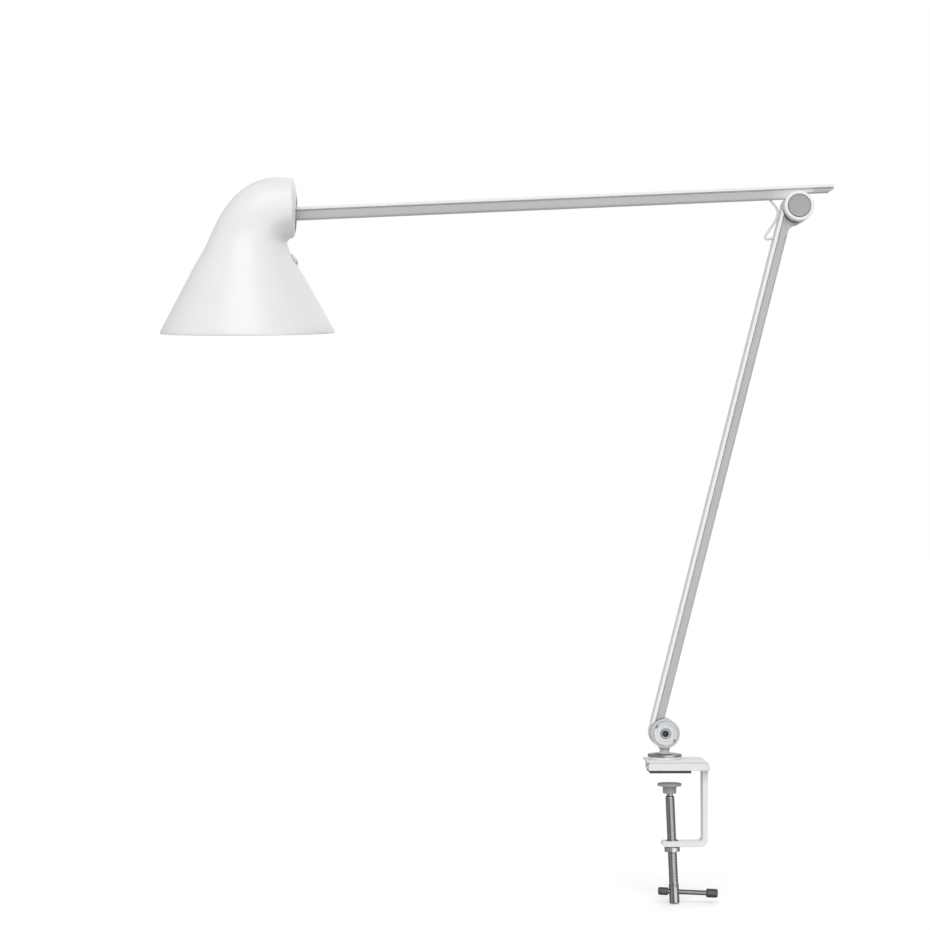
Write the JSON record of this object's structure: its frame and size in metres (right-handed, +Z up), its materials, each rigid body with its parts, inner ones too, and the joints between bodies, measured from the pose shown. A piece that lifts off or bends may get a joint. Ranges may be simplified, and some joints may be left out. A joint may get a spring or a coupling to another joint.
{
  "type": "swing arm desk lamp",
  "caption": "White swing arm desk lamp with a bell shade, two slim arms, capped friction pivots and a screw desk clamp.",
  "frame": {"origin": "underside of the clamp top pad, straight below the stem axis", "axes": "+Z up along the stem, +X from the shade towards the elbow, -Y the side that shows the pivot caps"},
  "size_m": [0.5525, 0.1421, 0.5914],
  "materials": {
    "painted_steel": "satin white paint",
    "painted_aluminium": "satin white powder coat",
    "cast_aluminium": "fine cast grey",
    "black_rubber": "matt black",
    "nylon": "natural nylon",
    "bare_aluminium": "satin",
    "reflector_aluminium": "bright",
    "dark_steel": "dark burnished",
    "bright_steel": "bright zinc",
    "grey_plastic": "satin grey",
    "black_plastic": "matt black",
    "pale_plastic": "satin pale grey",
    "opal_plastic": "opal",
    "board_white": "white solder mask",
    "phosphor_yellow": "matt yellow",
    "cable_jacket": "white jacket"
  },
  "bodies": {
    "clamp": {"clamp_frame": "painted_steel", "clamp_top_pad": "black_rubber", "stem_sleeve": "nylon", "screw_bushing": "bare_aluminium"},
    "swivel_base": {"base_housing": "cast_aluminium", "base_collar": "dark_steel", "collar_washer": "pale_plastic", "stem_washer": "bright_steel", "stem_screw": "bright_steel", "base_pivot_front_cap": "bare_aluminium", "base_pivot_bolt": "dark_steel"},
    "lower_arm_body": {"lower_arm": "painted_aluminium", "base_pivot_friction_washer": "nylon", "base_pivot_spring_washer": "bright_steel", "base_pivot_nut": "bright_steel", "base_pivot_rear_cap": "bare_aluminium", "elbow_friction_washer": "nylon", "elbow_spring_washer": "bright_steel", "elbow_nut": "bright_steel", "elbow_rear_cap": "grey_plastic", "cable_lower_run": "cable_jacket", "cable_elbow_loop": "cable_jacket"},
    "upper_arm_body": {"upper_arm": "painted_aluminium", "elbow_front_cap": "grey_plastic", "elbow_bolt": "dark_steel", "cable_upper_run": "cable_jacket", "swivel_bush": "nylon"},
    "head_knuckle": {"swivel_pin": "bare_aluminium"},
    "head": {"head_bracket": "bare_aluminium", "tilt_bolt": "dark_steel", "tilt_nut": "bright_steel", "tilt_washer_front": "bright_steel", "tilt_washer_rear": "bright_steel", "bracket_screw_left": "bright_steel", "bracket_screw_right": "bright_steel", "led_heat_sink": "bare_aluminium", "led_board": "board_white", "led_array": "phosphor_yellow", "reflector": "reflector_aluminium", "diffuser": "opal_plastic", "diffuser_ring": "pale_plastic", "shade_shell": "painted_aluminium", "neck_cover": "painted_aluminium", "switch_bezel": "grey_plastic", "switch_body": "black_plastic"},
    "button": {"switch_button": "pale_plastic"},
    "pad_slide": {"pressure_pad": "grey_plastic"},
    "screw": {"clamp_screw": "dark_steel"},
    "bar": {"tommy_bar": "dark_steel", "bar_cap_short": "black_rubber", "bar_cap_long": "black_rubber"}
  },
  "joints": [
    {"name": "base_swivel", "type": "hinge", "parent": "clamp", "child": "swivel_base", "pos_m": [0, 0, 0.0106], "axis": [0, 0, 1], "range_deg": [-175, 175]},
    {"name": "lower_arm_tilt", "type": "hinge", "parent": "swivel_base", "child": "lower_arm_body", "pos_m": [0, 0, 0.0313], "axis": [0, 1, 0], "range_deg": [-65, 45]},
    {"name": "elbow", "type": "hinge", "parent": "lower_arm_body", "child": "upper_arm_body", "pos_m": [0.11139, 0, 0.46265], "axis": [0, 1, 0], "range_deg": [-34, 90], "deforming": ["cable_elbow_loop"]},
    {"name": "head_swivel", "type": "hinge", "parent": "upper_arm_body", "child": "head_knuckle", "pos_m": [-0.32068, 0, 0.45416], "axis": [0.9989, 0, 0.0462], "range_deg": [-45, 45]},
    {"name": "head_tilt", "type": "hinge", "parent": "head_knuckle", "child": "head", "pos_m": [-0.32068, 0, 0.45416], "axis": [-0.0056, 0.9925, 0.1217], "range_deg": [-12, 12]},
    {"name": "switch_press", "type": "slide", "parent": "head", "child": "button", "axis": [-0.8599, 0.0573, -0.5072], "range_m": [0, 0.0012], "stiffness_N_per_m": 500},
    {"name": "pad_travel", "type": "slide", "parent": "clamp", "child": "pad_slide", "axis": [-0.0415, 0, 0.9991], "range_m": [-0.036, 0.009]},
    {"name": "screw_turn", "type": "hinge", "parent": "pad_slide", "child": "screw", "pos_m": [0.0057, 0, -0.058], "axis": [-0.0415, 0, 0.9991], "range_deg": [-10380, 2600]},
    {"name": "bar_slide", "type": "slide", "parent": "screw", "child": "bar", "axis": [0.999, 0, -0.0457], "range_m": [-0.0215, 0.0004]}
  ],
  "couplings": [
    {"joint": "screw_turn", "follows": "pad_travel", "rad_per_m": 5026.5}
  ]
}
